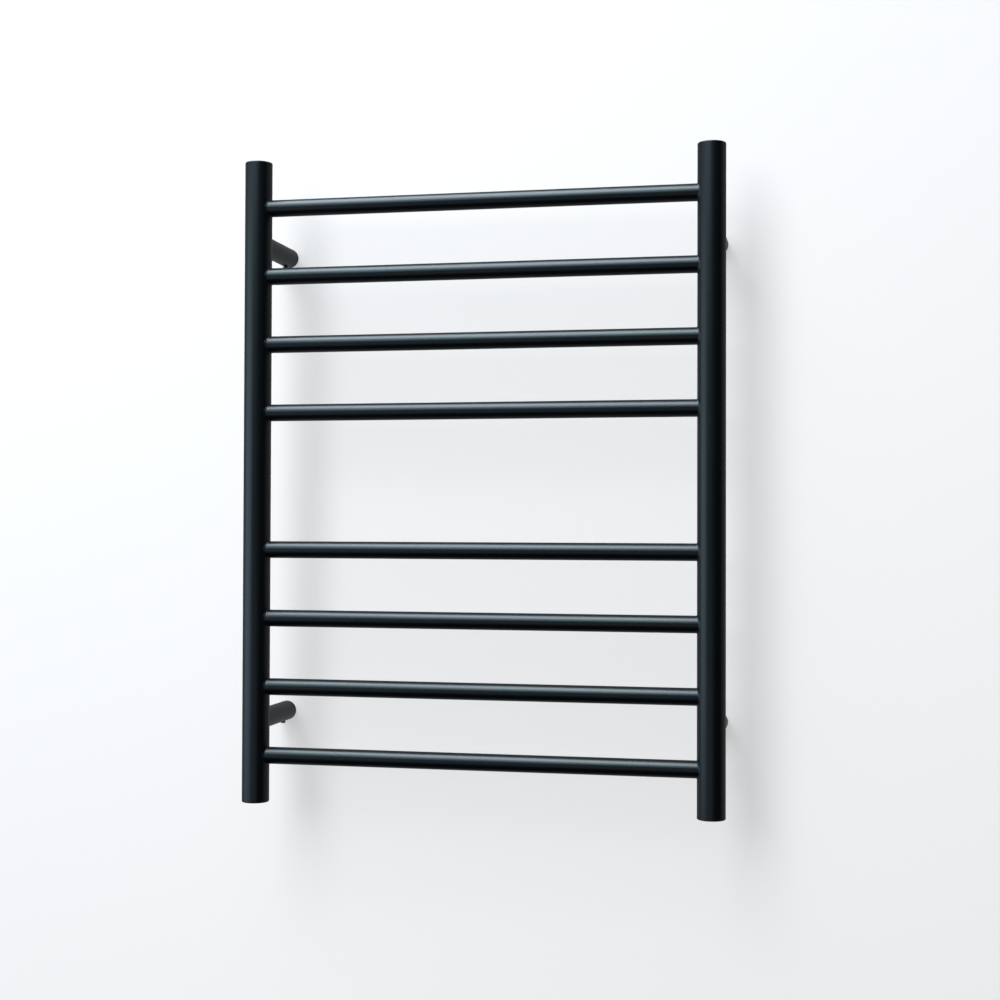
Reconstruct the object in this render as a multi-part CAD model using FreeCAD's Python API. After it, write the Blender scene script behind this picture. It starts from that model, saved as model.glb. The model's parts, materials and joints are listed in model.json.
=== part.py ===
"""Wall-hung electric towel warmer: a ladder of round tubes with a heating cable threaded through it.

Frame, in millimetres: +Z is up, +X is right as seen by someone facing the rack, and the wall is the plane
Y = 0 with the rack in front of it at negative Y. The origin is the middle of the four wall fixing holes, on
the wall plane.

Two uprights carry eight bars, four above and four below a wider gap. Each upright stands off the wall on two
hollow posts. A post slides over a boss that is screwed to the wall, and a grub screw from below clamps it.
The heating cable starts at a terminal block in the foot of the right upright, runs to and fro through the
bars from the lowest to the highest, and comes back down the right upright through a thermal fuse.
"""

import FreeCAD, Part
import math
import os

Vec = FreeCAD.Vector
X_AXIS = Vec(1, 0, 0)
Y_AXIS = Vec(0, 1, 0)
Z_AXIS = Vec(0, 0, 1)

# ---- Driving dimensions -----------------------------------------------------------------------------------
overall_width = 600.0  # outside to outside of the uprights
overall_height = 800.0  # end cap to end cap
wall_to_axis = 118.0  # wall face to the plane of the tube axes

upright_od = 34.0
upright_wall = 1.5
bar_od = 21.0
bar_wall = 1.2
bars_per_group = 4  # above and below the middle gap, which is two pitches high
end_margin = 58.0  # end of an upright to the axis of the outermost bar

cap_plate = 4.0  # thickness of an end cap outside the tube
cap_edge_radius = 1.2
cap_spigot_depth = 8.0
cap_spigot_wall = 1.5

post_od = 25.0
post_wall = 2.5
post_edge_chamfer = 0.4
boss_flange = 3.0  # thickness against the wall
boss_spigot_depth = 22.0  # how far the boss reaches into the post
boss_floor = 6.0  # metal under the head of the wall screw, flange included
boss_edge_chamfer = 0.8
wall_screw_hole = 4.8
wall_screw_head = 8.6
lead_channel_width = 6.4  # slot in the wired boss for the supply lead
lead_channel_floor = 4.5  # from the boss's axis to the bottom of that slot

grub_od = 6.0
grub_length = 5.0
grub_from_wall = 16.0
grub_socket = 3.0  # across the flats
grub_socket_depth = 2.5
grub_tip_chamfer = 0.6

cable_od = 4.0
terminal_size_x = 12.0
terminal_height = 22.0
terminal_edge_radius = 0.75
terminal_offset_x = 2.0  # towards the outside of the upright, away from the earth stud
clamp_od = 4.6
clamp_length = 12.0
clamp_screw_od = 2.6
clamp_screw_length = 4.5
fuse_od = 7.0
fuse_length = 24.0
fuse_taper = 3.0
fuse_above_foot = 100.0  # foot of the upright to the middle of the fuse

earth_stud_od = 4.0
earth_stud_length = 7.5
earth_shoulder_od = 6.5
earth_shoulder_height = 2.5
earth_above_foot = 27.0
earth_ring_od = 8.0
earth_ring_thickness = 0.8
earth_barrel_od = 3.4
earth_barrel_length = 6.0
earth_tongue = 3.0  # width of the strip between the ring and its barrel
earth_nut_flats = 7.0
earth_nut_height = 3.2

grommet_hole = 9.0  # hole in the right upright behind the wired post
grommet_flange_od = 12.5
grommet_flange = 1.4
grommet_bore = 6.2

# ---- Clearances -------------------------------------------------------------------------------------------
slide_fit = 0.05  # radial, between a boss and its post, and around a grub screw
seat_fit = 0.04  # radial, where one tube or cap seats in another
touch = 0.02  # between faces that only touch
shadow_gap = 0.3  # between the end of a post and the flange of its boss
grub_gap = 0.1  # tip of a grub screw to its boss
screw_head_gap = 0.4  # radial, around the head of the wall screw in its boss
ring_gap = 0.2  # barrel of the ring terminal to the nut below it
cable_gap = 1.0  # cable to the tube wall in the uprights
cable_rest_gap = 0.2  # cable to the bottom of the bar it lies in
terminal_gap = 1.5  # terminal block to the bore of the end cap
bar_reach = 0.5  # how far a bar end stands past the edge of its hole inside the upright

# ---- Sizes that follow from them --------------------------------------------------------------------------
upright_r = upright_od / 2
upright_bore_r = upright_r - upright_wall
bar_r = bar_od / 2
bar_bore_r = bar_r - bar_wall
post_r = post_od / 2
post_bore_r = post_r - post_wall
cable_r = cable_od / 2
upright_x = overall_width / 2 - upright_r
half_height = overall_height / 2
axis_y = -wall_to_axis

bar_pitch = (half_height - end_margin) / bars_per_group
bar_heights = [sign * step * bar_pitch for sign, steps in (
    (1, range(bars_per_group, 0, -1)), (-1, range(1, bars_per_group + 1))) for step in steps]
post_height = (bars_per_group - 0.5) * bar_pitch  # midway between the two outermost bars
bar_hole_r = bar_r + seat_fit
bar_end_x = upright_x - math.sqrt(upright_bore_r ** 2 - bar_hole_r ** 2) + bar_reach
cap_spigot_r = upright_bore_r - seat_fit
cap_bore_r = cap_spigot_r - cap_spigot_wall
boss_spigot_r = post_bore_r - slide_fit
foot_z = -half_height + cap_plate  # top face of the lower end plates

SIDES = {"left": -1, "right": 1}
LEVELS = {"upper": 1, "lower": -1}
CORNERS = [(level, side) for level in LEVELS for side in SIDES]
WIRED_CORNER = ("lower", "right")


def cylinder(radius, length, base, direction=Z_AXIS):
    return Part.makeCylinder(radius, length, base, direction)


def tube(outer_r, inner_r, length, base, direction):
    return cylinder(outer_r, length, base, direction).cut(cylinder(inner_r, length, base, direction))


def hexagon_prism(across_flats, height, base, direction):
    """A hexagonal prism that stands on base and points along direction."""
    corner_r = across_flats / math.sqrt(3)
    turn = FreeCAD.Rotation(Z_AXIS, direction)
    corners = [base + turn.multVec(Vec(corner_r * math.cos(math.radians(60 * i)),
                                       corner_r * math.sin(math.radians(60 * i)), 0)) for i in range(7)]
    return Part.Face(Part.makePolygon(corners)).extrude(direction * height)


def edges_on_plane(shape, axis, value, radius):
    """The full-circle edges of that radius that lie in the plane where coordinate axis equals value."""
    found = []
    for edge in shape.Edges:
        box = edge.BoundBox
        low = (box.XMin, box.YMin, box.ZMin)[axis]
        high = (box.XMax, box.YMax, box.ZMax)[axis]
        round_edge = isinstance(edge.Curve, Part.Circle) and abs(edge.Curve.Radius - radius) < 1e-6
        if round_edge and abs(low - value) < 1e-4 and abs(high - value) < 1e-4:
            found.append(edge)
    return found


# ---- Tubes ------------------------------------------------------------------------------------------------
def make_upright(side):
    """A tube between its two end caps, with a round hole in its inner wall for each bar."""
    sign = SIDES[side]
    length = overall_height - 2 * cap_plate
    body = tube(upright_r, upright_bore_r, length, Vec(sign * upright_x, axis_y, foot_z), Z_AXIS)
    for height in bar_heights:
        start = Vec(sign * upright_x, axis_y, height)
        body = body.cut(cylinder(bar_hole_r, upright_od, start, X_AXIS * -sign))
    if side == WIRED_CORNER[1]:
        start = Vec(sign * upright_x, axis_y, LEVELS[WIRED_CORNER[0]] * post_height)
        body = body.cut(cylinder(grommet_hole / 2, upright_od, start, Y_AXIS))
    return body


def make_bar(height):
    """A plain-cut tube whose ends stand a little way inside the uprights."""
    return tube(bar_r, bar_bore_r, 2 * bar_end_x, Vec(-bar_end_x, axis_y, height), X_AXIS)


def make_cap(level, side):
    """A flat end plate with a rounded rim, on a hollow spigot that fits the upright's bore."""
    sign = LEVELS[level]
    outward = Z_AXIS * sign
    seat = Vec(SIDES[side] * upright_x, axis_y, sign * (half_height - cap_plate))
    plate = cylinder(upright_r, cap_plate, seat, outward)
    plate = plate.makeFillet(cap_edge_radius, edges_on_plane(plate, 2, sign * half_height, upright_r))
    spigot = tube(cap_spigot_r, cap_bore_r, cap_spigot_depth, seat, outward * -1)
    return plate.fuse(spigot).removeSplitter()


# ---- Wall posts -------------------------------------------------------------------------------------------
def corner_point(level, side, y):
    """A point on the axis of one post."""
    return Vec(SIDES[side] * upright_x, y, LEVELS[level] * post_height)


def make_post(level, side):
    """A sleeve coped to the upright and open at the wall, with a threaded hole for the grub screw below."""
    wall_end = -boss_flange - shadow_gap
    length = wall_to_axis + wall_end - upright_bore_r / 2
    body = cylinder(post_r, length, corner_point(level, side, wall_end), Y_AXIS * -1)
    body = body.makeChamfer(post_edge_chamfer, edges_on_plane(body, 1, wall_end, post_r))
    body = body.cut(cylinder(post_bore_r, length, corner_point(level, side, wall_end), Y_AXIS * -1))
    upright_base = Vec(SIDES[side] * upright_x, axis_y, -half_height)
    body = body.cut(cylinder(upright_r + touch, overall_height, upright_base))
    grub_axis = corner_point(level, side, -grub_from_wall)
    return body.cut(cylinder(grub_od / 2 + slide_fit, post_od, grub_axis, Z_AXIS * -1))


def make_boss(level, side):
    """A flanged cup that one screw fixes to the wall. The wired one has a channel along its top for the lead.

    The channel opens onto the post's bore in front and is a closed slot where it passes through the flange.
    """
    depth = boss_flange + boss_spigot_depth
    wall = corner_point(level, side, 0)
    front = corner_point(level, side, -depth)
    flange = cylinder(post_r, boss_flange, wall, Y_AXIS * -1)
    flange = flange.makeChamfer(post_edge_chamfer, edges_on_plane(flange, 1, -boss_flange, post_r))
    spigot = cylinder(boss_spigot_r, depth, wall, Y_AXIS * -1)
    spigot = spigot.makeChamfer(boss_edge_chamfer, edges_on_plane(spigot, 1, -depth, boss_spigot_r))
    body = flange.fuse(spigot).removeSplitter()
    body = body.cut(cylinder(wall_screw_head / 2 + screw_head_gap, depth - boss_floor, front, Y_AXIS))
    sink = (wall_screw_head - wall_screw_hole) / 2
    body = body.cut(Part.makeCone(wall_screw_head / 2, wall_screw_hole / 2, sink,
                                  corner_point(level, side, -boss_floor), Y_AXIS))
    body = body.cut(cylinder(wall_screw_hole / 2, depth, front, Y_AXIS))
    if (level, side) == WIRED_CORNER:
        corner = front + Vec(-lead_channel_width / 2, 0, lead_channel_floor)
        body = body.cut(Part.makeBox(lead_channel_width, depth, boss_spigot_r - lead_channel_floor, corner))
    return body


def make_grub_screw(level, side):
    """A headless screw whose tip meets the boss, with a hexagon socket in its lower end."""
    top = corner_point(level, side, -grub_from_wall) - Z_AXIS * (boss_spigot_r + grub_gap)
    body = cylinder(grub_od / 2, grub_length, top, Z_AXIS * -1)
    body = body.makeChamfer(grub_tip_chamfer, edges_on_plane(body, 2, top.z, grub_od / 2))
    low_end = top - Z_AXIS * grub_length
    return body.cut(hexagon_prism(grub_socket, grub_socket_depth, low_end, Z_AXIS))


# ---- Heater -----------------------------------------------------------------------------------------------
cable_drop = bar_bore_r - cable_r - cable_rest_gap  # bar axis to the cable that lies in the bar
hop_x = upright_bore_r - cable_r - cable_gap  # upright axis to the cable that passes from bar to bar
bar_mouth = upright_x - bar_end_x - bar_reach  # upright axis to where a bend may start, clear of the bar
terminal_half_x = terminal_size_x / 2
terminal_size_y = 2 * math.sqrt((cap_bore_r - terminal_gap) ** 2 - (terminal_offset_x + terminal_half_x) ** 2)
pole_y = terminal_size_y / 4
terminal_top = foot_z + touch + terminal_height
return_y = -(upright_bore_r - fuse_od / 2 - 2 * cable_gap)  # the return leg and the fuse, before the axis
fuse_z = -half_height + fuse_above_foot
pole_rise = 1.5 * cable_od  # the cable leaves the terminal block upright for this far


def rounded_path(points, rooms):
    """Straight runs through the points, joined by tangent arcs.

    Each inner point has a room: how far from the point its arc begins and ends. Returns the path and the
    least radius of its arcs.
    """
    edges = []
    radii = []
    start = points[0]
    for before, corner, after, room in zip(points, points[1:], points[2:], rooms):
        back = (before - corner).normalize()
        ahead = (after - corner).normalize()
        half_inside = back.getAngle(ahead) / 2
        radius = room * math.tan(half_inside)
        middle_way = (back + ahead).normalize()
        centre = corner + middle_way * (radius / math.sin(half_inside))
        arc_start = corner + back * room
        arc_end = corner + ahead * room
        edges.append(Part.LineSegment(start, arc_start).toShape())
        edges.append(Part.Arc(arc_start, centre - middle_way * radius, arc_end).toShape())
        radii.append(radius)
        start = arc_end
    edges.append(Part.LineSegment(start, points[-1]).toShape())
    return Part.Wire(edges), min(radii)


def make_cable(points, rooms):
    """A round cable along a rounded path."""
    path, least_radius = rounded_path(points, rooms)
    along = (points[1] - points[0]).normalize()
    section = Part.Wire([Part.makeCircle(cable_r, points[0], along)])
    body = path.makePipeShell([section], True, False)
    filled = body.Volume / (math.pi * cable_r ** 2 * path.Length)
    print(f"cable {path.Length:.0f} mm long, least bend {least_radius:.1f} mm, volume {filled:.4f} of it")
    return body


def in_right_upright(x, y, z):
    """A point from its offsets to the axis of the right upright."""
    return Vec(upright_x + x, axis_y + y, z)


def heating_cable_route():
    """Up from the terminal block, through every bar from the lowest, and down the front to the fuse."""
    points = [in_right_upright(terminal_offset_x, pole_y, terminal_top + touch),
              in_right_upright(terminal_offset_x, pole_y, terminal_top + pole_rise),
              in_right_upright(terminal_offset_x, 0, bar_heights[-1] - cable_drop)]
    rooms = [pole_rise / 2, terminal_offset_x + bar_mouth]
    side = 1
    for row, height in enumerate(reversed(bar_heights)):
        lying = height - cable_drop
        if row > 0:
            points.append(Vec(side * (upright_x + hop_x), axis_y, lying))
            rooms.append(hop_x + bar_mouth)
        side = -side
        points.append(Vec(side * (upright_x + hop_x), axis_y, lying))
        rooms.append(hop_x + bar_mouth)
    slant = 0.7 * bar_pitch
    points.append(in_right_upright(terminal_offset_x, return_y, bar_heights[0] - cable_drop - slant))
    rooms.append(slant / 3)
    points.append(in_right_upright(terminal_offset_x, return_y, fuse_z + fuse_length / 2 + touch))
    return points, rooms


def cold_lead_route():
    """From the fuse down to the second pole of the terminal block."""
    points = [in_right_upright(terminal_offset_x, return_y, fuse_z - fuse_length / 2 - touch),
              in_right_upright(terminal_offset_x, return_y, bar_heights[-1]),
              in_right_upright(terminal_offset_x, -pole_y, terminal_top + pole_rise),
              in_right_upright(terminal_offset_x, -pole_y, terminal_top + touch)]
    return points, [2 * cable_od, pole_rise / 2]


def make_thermal_fuse():
    """A capsule in line with the return leg of the cable."""
    low = in_right_upright(terminal_offset_x, return_y, fuse_z - fuse_length / 2)
    straight = fuse_length - 2 * fuse_taper
    body = Part.makeCone(cable_r, fuse_od / 2, fuse_taper, low, Z_AXIS)
    body = body.fuse(cylinder(fuse_od / 2, straight, low + Z_AXIS * fuse_taper))
    top_cone = Part.makeCone(fuse_od / 2, cable_r, fuse_taper, low + Z_AXIS * (fuse_taper + straight), Z_AXIS)
    return body.fuse(top_cone).removeSplitter()


# ---- Terminals and earth ----------------------------------------------------------------------------------
def pole_points():
    """The foot of each pole's bore, on the top face of the terminal block."""
    return [in_right_upright(terminal_offset_x, sign * pole_y, terminal_top) for sign in (1, -1)]


def clamp_hole(pole, radius, length):
    """A cylinder down into the block from its top, as long as a clamp needs."""
    return cylinder(radius, length, pole, Z_AXIS * -1)


def screw_well(pole, radius):
    """A cylinder from a clamp's axis out through the block's inner face, towards the bars."""
    start = pole - Z_AXIS * (clamp_length / 2)
    return cylinder(radius, terminal_size_x, start, X_AXIS * -1)


def make_terminal_block():
    """A two-pole block that stands on the lower end plate, bored for the clamps and their screws."""
    corner = in_right_upright(terminal_offset_x - terminal_half_x, -terminal_size_y / 2, foot_z + touch)
    body = Part.makeBox(terminal_size_x, terminal_size_y, terminal_height, corner)
    upright_edges = [e for e in body.Edges if abs(e.BoundBox.ZLength - terminal_height) < 1e-6]
    body = body.makeFillet(terminal_edge_radius, upright_edges)
    for pole in pole_points():
        body = body.cut(clamp_hole(pole, clamp_od / 2 + touch, clamp_length + touch))
        body = body.cut(screw_well(pole, clamp_screw_od / 2 + slide_fit))
    return body


def make_terminal_clamps():
    """The two metal sleeves that hold the conductors."""
    clamps = []
    for pole in pole_points():
        body = clamp_hole(pole, clamp_od / 2, clamp_length)
        body = body.cut(clamp_hole(pole, clamp_screw_od / 2, clamp_length))
        clamps.append(body.cut(screw_well(pole, clamp_screw_od / 2 + slide_fit)))
    return Part.makeCompound(clamps)


def make_terminal_screws():
    """One slotless pinch screw in each clamp, its tip in the sleeve's bore."""
    screws = []
    for pole in pole_points():
        tip = pole - Z_AXIS * (clamp_length / 2) - X_AXIS * (clamp_screw_od / 2)
        screws.append(cylinder(clamp_screw_od / 2, clamp_screw_length, tip, X_AXIS * -1))
    return Part.makeCompound(screws)


def earth_point(distance):
    """A point on the earth stud's axis, at that distance from the upright's inner wall."""
    return in_right_upright(distance - upright_bore_r, 0, -half_height + earth_above_foot)


def make_earth_stud():
    """A shouldered stud, its foot shaped to the upright's bore."""
    stud = cylinder(earth_stud_od / 2, earth_stud_length, earth_point(0), X_AXIS)
    shoulder = cylinder(earth_shoulder_od / 2, earth_shoulder_height, earth_point(0), X_AXIS)
    bore = cylinder(upright_bore_r - touch, overall_height, in_right_upright(0, 0, -half_height))
    return stud.fuse(shoulder).common(bore).removeSplitter()


def make_earth_ring():
    """A ring terminal on the stud's shoulder: a ring, a tongue, and a crimp barrel above the nut."""
    seat = earth_point(earth_shoulder_height + touch)
    ring = cylinder(earth_ring_od / 2, earth_ring_thickness, seat, X_AXIS)
    above_nut = earth_nut_flats / math.sqrt(3) + ring_gap
    tongue_length = above_nut + earth_barrel_od / 2
    tongue_corner = seat - Y_AXIS * (earth_tongue / 2)
    tongue = Part.makeBox(earth_ring_thickness, earth_tongue, tongue_length, tongue_corner)
    barrel_foot = seat + X_AXIS * (earth_barrel_od / 2) + Z_AXIS * above_nut
    barrel = cylinder(earth_barrel_od / 2, earth_barrel_length, barrel_foot, Z_AXIS)
    body = ring.fuse([tongue, barrel])
    barrel_bore_r = earth_barrel_od / 2 - earth_ring_thickness
    body = body.cut(cylinder(barrel_bore_r, earth_barrel_length, barrel_foot, Z_AXIS))
    return body.cut(cylinder(earth_stud_od / 2 + slide_fit, earth_nut_flats, seat, X_AXIS)).removeSplitter()


def make_earth_nut():
    """A hexagon nut over the ring terminal."""
    seat = earth_point(earth_shoulder_height + earth_ring_thickness + 2 * touch)
    body = hexagon_prism(earth_nut_flats, earth_nut_height, seat, X_AXIS)
    return body.cut(cylinder(earth_stud_od / 2 + slide_fit, earth_nut_height, seat, X_AXIS))


def make_grommet():
    """A rubber ring in the right upright's back wall, with a flange inside and outside the tube."""
    level, side = WIRED_CORNER
    core = cylinder(grommet_hole / 2 - touch, upright_od, corner_point(level, side, axis_y), Y_AXIS)
    flange = cylinder(grommet_flange_od / 2, upright_od, corner_point(level, side, axis_y), Y_AXIS)
    column = Vec(SIDES[side] * upright_x, axis_y, -half_height)

    def shell(inner_r, outer_r):
        return tube(outer_r, inner_r, overall_height, column, Z_AXIS)

    inside = flange.common(shell(upright_bore_r - grommet_flange, upright_bore_r - touch))
    outside = flange.common(shell(upright_r + touch, upright_r + grommet_flange))
    neck = core.common(shell(upright_bore_r - grommet_flange, upright_r + grommet_flange))
    body = inside.fuse([neck, outside]).removeSplitter()
    return body.cut(cylinder(grommet_bore / 2, upright_od, corner_point(level, side, axis_y), Y_AXIS))


def make_parts():
    """Every sub-part by the name of its node."""
    parts = {f"{side}_upright": make_upright(side) for side in SIDES}
    for number, height in enumerate(bar_heights, 1):
        parts[f"bar_{number}"] = make_bar(height)
    for level, side in CORNERS:
        parts[f"end_cap_{level}_{side}"] = make_cap(level, side)
        parts[f"wall_post_{level}_{side}"] = make_post(level, side)
        parts[f"wall_boss_{level}_{side}"] = make_boss(level, side)
        parts[f"grub_screw_{level}_{side}"] = make_grub_screw(level, side)
    parts["heating_cable"] = make_cable(*heating_cable_route())
    parts["cold_lead"] = make_cable(*cold_lead_route())
    parts["thermal_fuse"] = make_thermal_fuse()
    parts["terminal_block"] = make_terminal_block()
    parts["terminal_clamps"] = make_terminal_clamps()
    parts["terminal_screws"] = make_terminal_screws()
    parts["earth_stud"] = make_earth_stud()
    parts["earth_ring_terminal"] = make_earth_ring()
    parts["earth_nut"] = make_earth_nut()
    parts["lead_grommet"] = make_grommet()
    return parts


def main():
    os.makedirs("parts", exist_ok=True)
    for name, shape in make_parts().items():
        if not shape.isValid() or not shape.Solids:
            raise ValueError(f"{name} isn't a valid solid")
        shape.exportStep(os.path.join("parts", name + ".step"))
        print(f"{name}: {len(shape.Solids)} solid(s), {shape.Volume / 1000:.2f} cm3")


main()
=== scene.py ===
import json
import math

import bpy
from mathutils import Matrix, Vector


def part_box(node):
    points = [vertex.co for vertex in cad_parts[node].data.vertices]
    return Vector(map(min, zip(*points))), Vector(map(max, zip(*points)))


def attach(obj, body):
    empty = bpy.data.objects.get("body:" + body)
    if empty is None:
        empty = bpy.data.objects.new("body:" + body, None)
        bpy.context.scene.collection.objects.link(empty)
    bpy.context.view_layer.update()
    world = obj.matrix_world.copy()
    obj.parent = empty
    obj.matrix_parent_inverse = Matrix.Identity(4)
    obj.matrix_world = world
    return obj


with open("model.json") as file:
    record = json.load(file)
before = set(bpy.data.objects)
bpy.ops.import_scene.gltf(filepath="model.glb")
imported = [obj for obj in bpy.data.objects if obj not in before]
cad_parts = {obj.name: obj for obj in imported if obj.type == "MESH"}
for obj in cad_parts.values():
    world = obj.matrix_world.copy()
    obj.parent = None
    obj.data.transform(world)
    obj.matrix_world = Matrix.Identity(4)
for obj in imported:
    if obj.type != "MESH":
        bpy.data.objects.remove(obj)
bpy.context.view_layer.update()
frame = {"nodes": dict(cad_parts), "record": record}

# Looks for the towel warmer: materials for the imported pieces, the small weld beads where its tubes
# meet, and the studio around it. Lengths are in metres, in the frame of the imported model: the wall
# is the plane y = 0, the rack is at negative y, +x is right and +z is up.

# ---- Camera --------------------------------------------------------------------------------------
camera_place = Vector((0.4154, -2.0141, -0.0560))
camera_aim = Vector((0.0277, -0.1180, -0.0236))
camera_roll = math.radians(0.18)
camera_lens = 57.38  # mm
camera_sensor = 36  # mm
camera_reach = 60  # how far it sees

# ---- Studio --------------------------------------------------------------------------------------
floor_height = -1.30
floor_radius = 14.0
floor_corners = 72
wall_half_width = 4.5
wall_top = 2.6
wall_gap = 0.0005  # behind the bosses, whose backs are at y = 0
floor_tone = (0.10, 0.10, 0.10)
floor_glow = 0.62
backdrop_tone = (0.104, 0.101, 0.101)
backdrop_glow = 0.30  # the light of its own that the rack mirrors
backdrop_glow_tone = (0.96, 1.00, 1.03)
backdrop_lift = 0.24  # more glow, and a plain white one, only for the camera
sky_tone = (0.86, 0.88, 0.90)
room_tone = (0.012, 0.014, 0.016)

# Each light: its place, the point it faces, its two sides, its power in watts and its tone.
ceiling_light = ((-1.1, -1.15, 3.20), (-0.4, -0.45, 0), (4.2, 2.4), 490, (0.73, 0.89, 1.0))
window_light = ((-2.15, -1.25, 0.0), (0, -0.1, 0), (2.4, 1.7), 32, (0.60, 0.82, 1.0))
wall_wash = ((-1.10, -3.4, 2.0), (-0.1, 0, 0), (1.5, 4.0), 680, (0.97, 0.99, 1.0))
high_light = ((-1.2, -3.3, 2.2), (0, -0.1, 0), (3.0, 1.6), 62, (0.60, 0.82, 1.0))
low_light = ((-0.5, -2.7, -0.8), (-0.1, -0.1, -0.3), (3.2, 0.9), 6, (0.64, 0.82, 1.0))

# ---- Surfaces ------------------------------------------------------------------------------------
# Scales are in cells to the metre, and depths are those of the bumps.
noise_low = 0.3  # noise keeps within about this band, which is drawn out to the full range
noise_high = 0.7
coat_specular = 0.36
coat_roughness = (0.31, 0.37)
coat_black = (0.0010, 0.0018, 0.0021)
coat_paler_black = (0.0016, 0.0026, 0.0029)
peel_scale = 700
peel_depth = 0.00003
coat_grain_scale = 2600
coat_grain_depth = 0.000008
coat_drift_scale = 9
mottle_scale = 350
mark_depth = 0.00001
metal_spread = (-0.07, 0.09)  # how far a metal's roughness strays from its middle value
moulding_specular = 0.4
moulding_spread = (-0.06, 0.08)
skin_to_speck = 6  # how many specks lie along one patch of a moulding's skin

# ---- Weld beads ----------------------------------------------------------------------------------
bead_leg = 0.0013  # how far a bead reaches along each of its two tubes
bead_sink = 0.0002  # how deep its hidden edges lie in the metal
bead_turns = 96
bead_curve = 5

RACK = "rack"


def link(obj):
    """An object, put into the scene."""
    bpy.context.scene.collection.objects.link(obj)
    return obj


def middle(node):
    """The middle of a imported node's box."""
    low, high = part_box(node)
    return (low + high) / 2


def width(node, axis):
    """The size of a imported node's box along one axis."""
    low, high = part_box(node)
    return high[axis] - low[axis]


# ---- Materials -----------------------------------------------------------------------------------
def new_material(name, metallic=0.0, specular=0.5):
    """A material with its Principled shader, and object coordinates to build on."""
    material = bpy.data.materials.new(name)
    material.use_nodes = True
    tree = material.node_tree
    shader = tree.nodes["Principled BSDF"]
    shader.inputs["Metallic"].default_value = metallic
    shader.inputs["Specular IOR Level"].default_value = specular
    place = tree.nodes.new("ShaderNodeTexCoord").outputs["Object"]
    return material, tree, shader, place


def add_noise(tree, place, scale, detail=3.0, stretch=(1, 1, 1)):
    """Noise over the object, in cells to the metre; stretch multiplies them along each axis."""
    mapping = tree.nodes.new("ShaderNodeMapping")
    mapping.inputs["Scale"].default_value = stretch
    noise = tree.nodes.new("ShaderNodeTexNoise")
    noise.inputs["Scale"].default_value = scale
    noise.inputs["Detail"].default_value = detail
    tree.links.new(place, mapping.inputs["Vector"])
    tree.links.new(mapping.outputs["Vector"], noise.inputs["Vector"])
    return noise.outputs["Fac"]


def add_range(tree, value, low, high):
    """A noise value brought into a range."""
    ranged = tree.nodes.new("ShaderNodeMapRange")
    ranged.inputs["From Min"].default_value = noise_low
    ranged.inputs["From Max"].default_value = noise_high
    ranged.inputs["To Min"].default_value = low
    ranged.inputs["To Max"].default_value = high
    tree.links.new(value, ranged.inputs["Value"])
    return ranged.outputs["Result"]


def add_blend(tree, value, first, second):
    """A colour that a noise value moves from first to second."""
    ramp = tree.nodes.new("ShaderNodeValToRGB")
    ramp.color_ramp.elements[0].position = noise_low
    ramp.color_ramp.elements[0].color = (*first, 1)
    ramp.color_ramp.elements[1].position = noise_high
    ramp.color_ramp.elements[1].color = (*second, 1)
    tree.links.new(value, ramp.inputs["Fac"])
    return ramp.outputs["Color"]


def add_bump(tree, shader, heights):
    """Bumps one on the other, each a value and its depth."""
    normal = None
    for value, depth in heights:
        bump = tree.nodes.new("ShaderNodeBump")
        bump.inputs["Distance"].default_value = depth
        tree.links.new(value, bump.inputs["Height"])
        if normal is not None:
            tree.links.new(normal, bump.inputs["Normal"])
        normal = bump.outputs["Normal"]
    tree.links.new(normal, shader.inputs["Normal"])


def make_powder_coat():
    """Satin black powder coat: a fine orange peel, with a slow drift in its depth of black."""
    material, tree, shader, place = new_material("satin_black_powder_coat", specular=coat_specular)
    peel = add_noise(tree, place, peel_scale, detail=4)
    grain = add_noise(tree, place, coat_grain_scale, detail=2)
    drift = add_noise(tree, place, coat_drift_scale, detail=4)
    black = add_blend(tree, drift, coat_black, coat_paler_black)
    tree.links.new(black, shader.inputs["Base Color"])
    tree.links.new(add_range(tree, peel, *coat_roughness), shader.inputs["Roughness"])
    add_bump(tree, shader, [(peel, peel_depth), (grain, coat_grain_depth)])
    return material


def make_metal(name, first, second, roughness, mark_scale, stretch=(1, 1, 1)):
    """A bare or plated metal with fine tool marks and a mottled tone."""
    material, tree, shader, place = new_material(name, metallic=1.0)
    mottle = add_noise(tree, place, mottle_scale, detail=4)
    marks = add_noise(tree, place, mark_scale, stretch=stretch)
    uneven = add_range(tree, marks, *(roughness + stray for stray in metal_spread))
    tree.links.new(add_blend(tree, mottle, first, second), shader.inputs["Base Color"])
    tree.links.new(uneven, shader.inputs["Roughness"])
    add_bump(tree, shader, [(marks, mark_depth)])
    return material


def make_moulding(name, first, second, roughness, speck_scale, depth):
    """A moulded plastic, rubber or silicone with specks in it and a dull skin."""
    material, tree, shader, place = new_material(name, specular=moulding_specular)
    specks = add_noise(tree, place, speck_scale, detail=5)
    skin = add_noise(tree, place, speck_scale / skin_to_speck)
    uneven = add_range(tree, skin, *(roughness + stray for stray in moulding_spread))
    tree.links.new(add_blend(tree, specks, first, second), shader.inputs["Base Color"])
    tree.links.new(uneven, shader.inputs["Roughness"])
    add_bump(tree, shader, [(specks, depth)])
    return material


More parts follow.
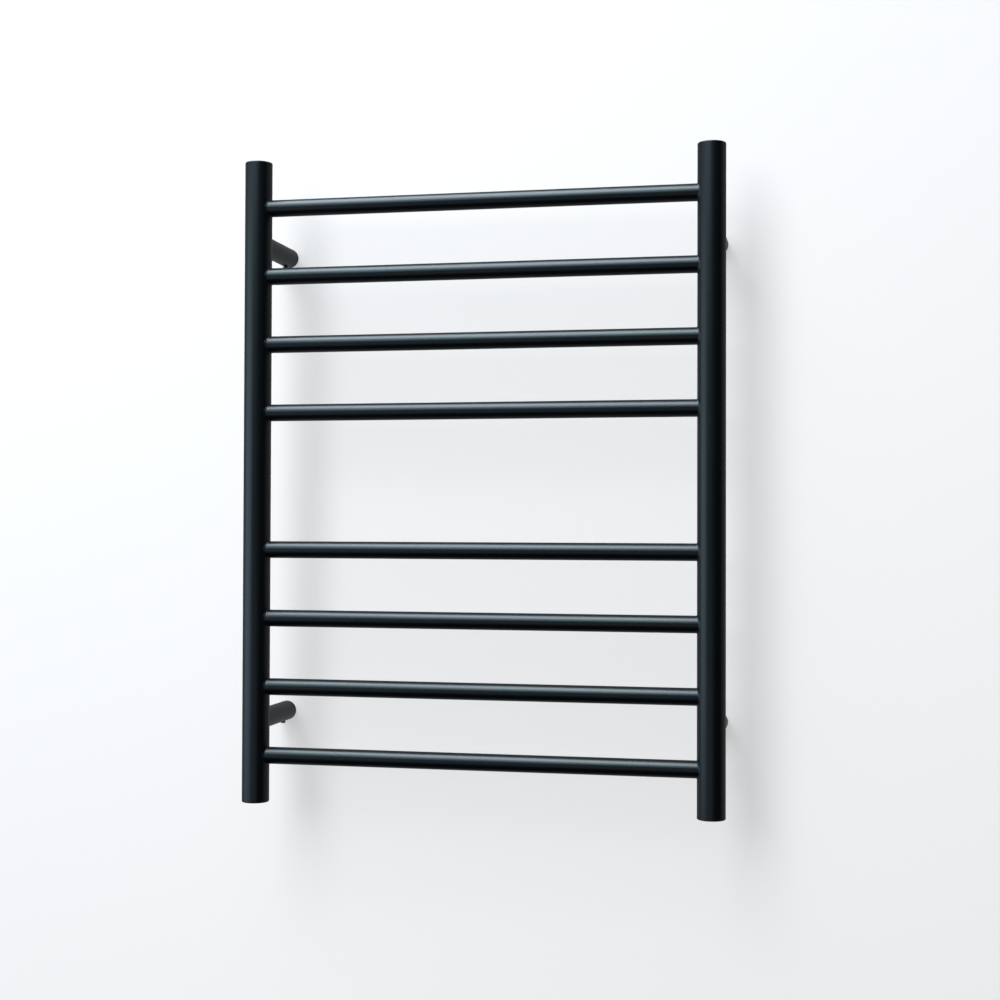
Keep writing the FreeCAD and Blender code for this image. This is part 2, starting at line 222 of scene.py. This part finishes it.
def make_materials():
    """One material for each slot of the record."""
    return {
        "black_coat": make_powder_coat(),
        "black_oxide_steel": make_metal(
            "black_oxide", (0.045, 0.045, 0.05), (0.07, 0.068, 0.066), 0.36, 4000, (1, 1, 0.05)),
        "cable_jacket": make_moulding(
            "red_brown_silicone", (0.26, 0.055, 0.04), (0.34, 0.085, 0.06), 0.52, 1500, 0.00002),
        "lead_jacket": make_moulding(
            "grey_silicone", (0.20, 0.20, 0.19), (0.28, 0.28, 0.27), 0.52, 1500, 0.00002),
        "fuse_case": make_moulding(
            "white_shrink_sleeve", (0.70, 0.68, 0.62), (0.78, 0.76, 0.71), 0.40, 900, 0.00004),
        "nylon": make_moulding(
            "natural_nylon", (0.72, 0.69, 0.60), (0.82, 0.79, 0.72), 0.48, 2200, 0.00002),
        "brass": make_metal(
            "machined_brass", (0.62, 0.43, 0.17), (0.74, 0.55, 0.26), 0.28, 3000, (1, 1, 8)),
        "zinc_steel": make_metal(
            "zinc_plate", (0.52, 0.53, 0.55), (0.66, 0.65, 0.60), 0.30, 2500),
        "bare_steel": make_metal(
            "machined_steel", (0.42, 0.42, 0.43), (0.52, 0.51, 0.50), 0.32, 3000, (8, 1, 1)),
        "tinned_copper": make_metal(
            "tin_plate", (0.62, 0.61, 0.58), (0.73, 0.71, 0.68), 0.34, 2000),
        "grommet_rubber": make_moulding(
            "grommet_rubber", (0.018, 0.018, 0.018), (0.032, 0.031, 0.030), 0.62, 1200, 0.00003),
    }


def dress_nodes(materials):
    """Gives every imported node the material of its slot."""
    for entry in frame["record"]["subparts"]:
        node = frame["nodes"][entry["node"]]
        for slot in node.material_slots:
            slot.material = materials[entry["material_slot"]]


# ---- Weld beads ----------------------------------------------------------------------------------
def bead_rings(upright_radius, branch_radius):
    """Rings of points round a branch tube that meets an upright at right angles.

    The upright's axis is local z and the branch's is local x. Each ring is one profile. Its outer
    side is hollow, and runs from the branch to the upright, a leg away from where they cross. Its
    other three points are sunk in the metal.
    """
    rings = []
    for turn in range(bead_turns):
        angle = 2 * math.pi * turn / bead_turns
        outward = Vector((0, math.cos(angle), math.sin(angle)))
        root = branch_radius * outward
        root.x = math.sqrt(upright_radius ** 2 - root.y ** 2)
        on_branch = root + Vector((bead_leg, 0, 0))
        spread = (branch_radius + bead_leg) * outward
        spread.x = math.sqrt(upright_radius ** 2 - spread.y ** 2)
        ring = [on_branch - outward * bead_sink]
        for step in range(bead_curve + 1):
            t = step / bead_curve
            ring.append((1 - t) ** 2 * on_branch + 2 * t * (1 - t) * root + t ** 2 * spread)
        across = Vector((spread.x, spread.y, 0)).normalized()
        ring.append(spread - across * bead_sink)
        ring.append(root - outward * bead_sink - across * bead_sink)
        rings.append(ring)
    return rings


def make_beads(name, joints, material):
    """One mesh of beads.

    Each joint is a point on an upright's axis, the branch's direction, and both tubes' radii.
    """
    points = []
    faces = []
    for centre, direction, upright_radius, branch_radius in joints:
        side = Vector((0, 0, 1)).cross(direction)
        turn = Matrix((direction, side, Vector((0, 0, 1)))).transposed()
        start = len(points)
        rings = bead_rings(upright_radius, branch_radius)
        size = len(rings[0])
        points.extend(centre + turn @ point for ring in rings for point in ring)
        for i in range(bead_turns):
            this = start + i * size
            following = start + (i + 1) % bead_turns * size
            for j in range(size):
                k = (j + 1) % size
                faces.append((this + j, following + j, following + k, this + k))
    mesh = bpy.data.meshes.new(name)
    mesh.from_pydata(points, [], faces)
    mesh.update()
    for polygon in mesh.polygons:
        polygon.use_smooth = True
    mesh.materials.append(material)
    bead = link(bpy.data.objects.new(name, mesh))
    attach(bead, RACK)


def add_weld_beads(material):
    """A bead round each end of each bar, and one round the root of each post."""
    for side, inward in (("left", 1), ("right", -1)):
        upright = f"{side}_upright"
        axis = middle(upright)
        upright_radius = width(upright, 0) / 2
        bars = sorted(node for node in frame["nodes"] if node.startswith("bar_"))
        posts = [f"wall_post_{level}_{side}" for level in ("upper", "lower")]
        for kind, branches, direction in (("bar", bars, Vector((inward, 0, 0))),
                                          ("post", posts, Vector((0, 1, 0)))):
            joints = [(Vector((axis.x, axis.y, middle(branch).z)), direction, upright_radius,
                       width(branch, 2) / 2) for branch in branches]
            make_beads(f"{kind}_weld_beads_{side}", joints, material)


# ---- Studio --------------------------------------------------------------------------------------
def facing(place, aim):
    """The matrix of a camera or a light that stands at place and faces aim."""
    look = (aim - place).to_track_quat("-Z", "Y").to_matrix().to_4x4()
    return Matrix.Translation(place) @ look


def make_camera():
    """The scene's camera, turned about its own line of sight by its roll."""
    data = bpy.data.cameras.new("camera")
    data.lens = camera_lens
    data.sensor_width = camera_sensor
    data.clip_end = camera_reach
    camera = link(bpy.data.objects.new("camera", data))
    roll = Matrix.Rotation(camera_roll, 4, "Z")
    camera.matrix_world = facing(camera_place, camera_aim) @ roll
    bpy.context.scene.camera = camera


def make_area_light(name, place, aim, size, power, tone):
    """A soft light with a rectangular face."""
    data = bpy.data.lights.new(name, "AREA")
    data.shape = "RECTANGLE"
    data.size, data.size_y = size
    data.energy = power
    data.color = tone
    light = link(bpy.data.objects.new(name, data))
    light.matrix_world = facing(Vector(place), Vector(aim))
    return light


def make_stage_plane(name, corners, material):
    """One flat face that is not part of the object."""
    mesh = bpy.data.meshes.new(name)
    mesh.from_pydata(corners, [], [tuple(range(len(corners)))])
    mesh.materials.append(material)
    plane = link(bpy.data.objects.new(name, mesh))
    return plane


def make_stage_material(name):
    """A material, its node tree, and the output's socket, which has nothing on it yet."""
    material = bpy.data.materials.new(name)
    material.use_nodes = True
    tree = material.node_tree
    tree.nodes.clear()
    return material, tree, tree.nodes.new("ShaderNodeOutputMaterial").inputs["Surface"]


def add_diffuse(tree, tone):
    diffuse = tree.nodes.new("ShaderNodeBsdfDiffuse")
    diffuse.inputs["Color"].default_value = (*tone, 1)
    return diffuse.outputs[0]


def add_glow(tree, strength, tone=(1, 1, 1)):
    glow = tree.nodes.new("ShaderNodeEmission")
    glow.inputs["Color"].default_value = (*tone, 1)
    glow.inputs["Strength"].default_value = strength
    return glow.outputs[0]


def add_background(tree, tone):
    background = tree.nodes.new("ShaderNodeBackground")
    background.inputs["Color"].default_value = (*tone, 1)
    return background.outputs[0]


def add_sum(tree, first, second):
    total = tree.nodes.new("ShaderNodeAddShader")
    tree.links.new(first, total.inputs[0])
    tree.links.new(second, total.inputs[1])
    return total.outputs[0]


def add_choice(tree, test, first, second):
    """The first shader where the test is 0, and the second where it is 1."""
    mix = tree.nodes.new("ShaderNodeMixShader")
    tree.links.new(test, mix.inputs["Fac"])
    tree.links.new(first, mix.inputs[1])
    tree.links.new(second, mix.inputs[2])
    return mix.outputs[0]


def make_floor_material():
    """A pale floor that looks the same near the lights and far from them."""
    material, tree, surface = make_stage_material("pale_floor")
    lit = add_diffuse(tree, floor_tone)
    tree.links.new(add_sum(tree, lit, add_glow(tree, floor_glow)), surface)
    return material


def make_backdrop_material():
    """A pale surface that can't be seen from behind, and that the rack mirrors as a dim one."""
    material, tree, surface = make_stage_material("pale_backdrop")
    mirrored = add_glow(tree, backdrop_glow, backdrop_glow_tone)
    lifted = add_glow(tree, backdrop_glow + backdrop_lift)
    seen = add_sum(tree, add_diffuse(tree, backdrop_tone), lifted)
    by_camera = tree.nodes.new("ShaderNodeLightPath").outputs["Is Camera Ray"]
    front = add_choice(tree, by_camera, mirrored, seen)
    behind = tree.nodes.new("ShaderNodeNewGeometry").outputs["Backfacing"]
    clear = tree.nodes.new("ShaderNodeBsdfTransparent").outputs[0]
    tree.links.new(add_choice(tree, behind, front, clear), surface)
    return material


def make_world():
    """A pale sky for the camera, over a dim room for everything else."""
    world = bpy.data.worlds.new("studio")
    bpy.context.scene.world = world
    world.use_nodes = True
    tree = world.node_tree
    tree.nodes.clear()
    surface = tree.nodes.new("ShaderNodeOutputWorld").inputs["Surface"]
    room = add_background(tree, room_tone)
    sky = add_background(tree, sky_tone)
    by_camera = tree.nodes.new("ShaderNodeLightPath").outputs["Is Camera Ray"]
    tree.links.new(add_choice(tree, by_camera, room, sky), surface)


def make_floor():
    """A round floor, seen only by the camera."""
    rim = []
    for corner in range(floor_corners):
        angle = 2 * math.pi * corner / floor_corners
        rim.append((floor_radius * math.cos(angle), floor_radius * math.sin(angle), floor_height))
    floor = make_stage_plane("floor", rim, make_floor_material())
    floor.visible_glossy = False
    floor.visible_diffuse = False


def make_backdrop():
    """The wall that the rack hangs on."""
    corners = [(-wall_half_width, wall_gap, floor_height),
               (wall_half_width, wall_gap, floor_height),
               (wall_half_width, wall_gap, wall_top),
               (-wall_half_width, wall_gap, wall_top)]
    return make_stage_plane("backdrop", corners, make_backdrop_material())


def make_studio():
    """The floor, the wall, the sky and the lights, one of which falls on nothing but the wall."""
    make_floor()
    backdrop = make_backdrop()
    make_area_light("ceiling_light", *ceiling_light)
    make_area_light("window_light", *window_light)
    wash = make_area_light("wall_wash", *wall_wash)
    only_backdrop = bpy.data.collections.new("lit_by_wall_wash")
    only_backdrop.objects.link(backdrop)
    wash.light_linking.receiver_collection = only_backdrop
    make_area_light("high_light", *high_light)
    make_area_light("low_light", *low_light)
    make_world()


bpy.context.scene.view_settings.view_transform = "Standard"
coats = make_materials()
dress_nodes(coats)
add_weld_beads(coats["black_coat"])
make_studio()
make_camera()
